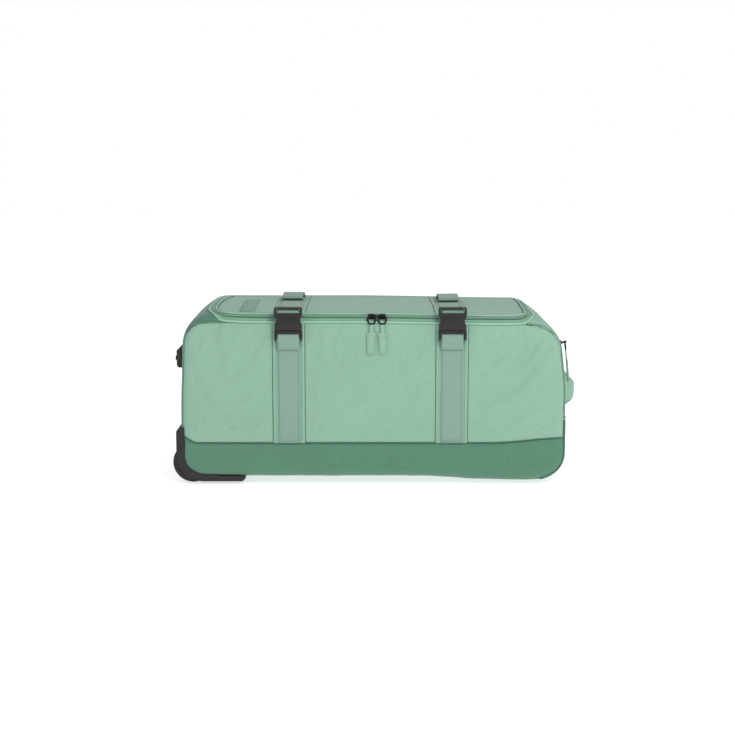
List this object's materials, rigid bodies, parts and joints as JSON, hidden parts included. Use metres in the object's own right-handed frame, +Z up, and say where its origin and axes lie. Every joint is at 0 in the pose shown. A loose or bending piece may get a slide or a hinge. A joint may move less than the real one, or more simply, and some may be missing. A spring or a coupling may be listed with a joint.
{
  "type": "rolling duffel bag",
  "caption": "Soft rolling duffel bag with a U-zip lid, buckled compression straps, end wheels and a telescopic pull handle.",
  "frame": {"origin": "on the floor under the middle of the bag's overall box", "axes": "+X along the bag from the wheels to the pull handle, -Y is the front with the buckles, +Z up"},
  "size_m": [0.7295, 0.3362, 0.3196],
  "materials": {
    "light_cloth": "sage green woven polyester, matt",
    "dark_cloth": "darker green coated polyester",
    "webbing": "grey-green ribbed webbing",
    "zip_tape": "pale green zip tape and coil",
    "black_plastic": "moulded black, fine texture",
    "button_plastic": "dark grey moulded",
    "board_plastic": "plain extruded sheet",
    "tyre_rubber": "smooth polyurethane tread",
    "foot_rubber": "matt",
    "tube_aluminium": "satin anodised",
    "steel": "zinc plated",
    "black_metal": "black lacquered die-cast"
  },
  "bodies": {
    "root": {"front_panel": "light_cloth", "front_base_band": "dark_cloth", "back_panel": "light_cloth", "back_base_band": "dark_cloth", "bottom_panel": "dark_cloth", "wheel_end_panel": "dark_cloth", "handle_end_base": "dark_cloth", "handle_end_panel": "light_cloth", "body_zip_tape": "zip_tape", "end_zip_tape": "zip_tape", "base_board": "board_plastic", "handle_cup": "black_plastic", "end_foot": "black_plastic", "glide_feet": "foot_rubber", "screws": "steel", "grab_anchors": "webbing", "wheel_housing_front": "black_plastic", "wheel_housing_back": "black_plastic", "wheel_axle_front": "steel", "wheel_axle_back": "steel", "outer_tube_front": "tube_aluminium", "outer_tube_back": "tube_aluminium", "front_band_left": "light_cloth", "front_band_right": "light_cloth", "lower_webbing_left": "webbing", "lower_webbing_right": "webbing", "male_buckle_left": "black_plastic", "male_buckle_right": "black_plastic"},
    "lid": {"lid_panel": "light_cloth", "lid_zip_tape": "zip_tape", "lid_band_left": "light_cloth", "lid_band_right": "light_cloth", "upper_webbing_left": "webbing", "upper_webbing_right": "webbing", "female_buckle_left": "black_plastic", "female_buckle_right": "black_plastic"},
    "wheel_front": {"tyre_front": "tyre_rubber", "wheel_hub_front": "black_plastic", "wheel_bearings_front": "steel"},
    "wheel_back": {"tyre_back": "tyre_rubber", "wheel_hub_back": "black_plastic", "wheel_bearings_back": "steel"},
    "handle_stage": {"mid_tube_front": "tube_aluminium", "mid_tube_back": "tube_aluminium"},
    "handle_grip": {"inner_tube_front": "tube_aluminium", "inner_tube_back": "tube_aluminium", "grip": "black_plastic"},
    "button": {"grip_button": "button_plastic"},
    "slider_left": {"main_slider_left": "black_metal"},
    "slider_right": {"main_slider_right": "black_metal"},
    "pull_left": {"pull_ring_left": "black_metal", "pull_tab_left": "light_cloth"},
    "pull_right": {"pull_ring_right": "black_metal", "pull_tab_right": "light_cloth"},
    "pocket_slider": {"end_slider": "black_metal"},
    "pocket_pull": {"end_pull_ring": "black_metal", "end_pull_tab": "light_cloth"},
    "grab_grip": {"grab_handle": "webbing"}
  },
  "joints": [
    {"name": "lid_hinge", "type": "hinge", "parent": "root", "child": "lid", "pos_m": [-0.006, 0.148, 0.3], "axis": [-1, 0, 0], "range_deg": [0, 105]},
    {"name": "wheel_front_spin", "type": "hinge", "parent": "root", "child": "wheel_front", "pos_m": [-0.3275, -0.122, 0.0356], "axis": [0, 1, 0], "continuous": true},
    {"name": "wheel_back_spin", "type": "hinge", "parent": "root", "child": "wheel_back", "pos_m": [-0.3275, 0.134, 0.0356], "axis": [0, 1, 0], "continuous": true},
    {"name": "handle_stage_slide", "type": "slide", "parent": "root", "child": "handle_stage", "axis": [1, 0, 0], "range_m": [0, 0.2]},
    {"name": "handle_grip_slide", "type": "slide", "parent": "handle_stage", "child": "handle_grip", "axis": [1, 0, 0], "range_m": [0, 0.2]},
    {"name": "button_press", "type": "slide", "parent": "handle_grip", "child": "button", "axis": [-1, 0, 0], "range_m": [0, 0.004], "stiffness_N_per_m": 500},
    {"name": "zip_left_slide", "type": "slide", "parent": "root", "child": "slider_left", "axis": [-1, 0, 0], "range_m": [0, 0.1]},
    {"name": "zip_right_slide", "type": "slide", "parent": "root", "child": "slider_right", "axis": [1, 0, 0], "range_m": [0, 0.08]},
    {"name": "pull_left_swing", "type": "hinge", "parent": "slider_left", "child": "pull_left", "pos_m": [-0.013, -0.1575, 0.3], "axis": [-1, 0, 0], "range_deg": [0, 90]},
    {"name": "pull_right_swing", "type": "hinge", "parent": "slider_right", "child": "pull_right", "pos_m": [0.0054, -0.1575, 0.3], "axis": [-1, 0, 0], "range_deg": [0, 90]},
    {"name": "pocket_zip_slide", "type": "slide", "parent": "root", "child": "pocket_slider", "axis": [0, 1, 0], "range_m": [0, 0.19]},
    {"name": "pocket_pull_swing", "type": "hinge", "parent": "pocket_slider", "child": "pocket_pull", "pos_m": [0.3288, -0.096, 0.246], "axis": [0, -1, 0], "range_deg": [0, 90]},
    {"name": "grab_handle_swing", "type": "hinge", "parent": "root", "child": "grab_grip", "pos_m": [0.331, 0.006, 0.151], "axis": [0, 1, 0], "range_deg": [-20, 25]}
  ]
}
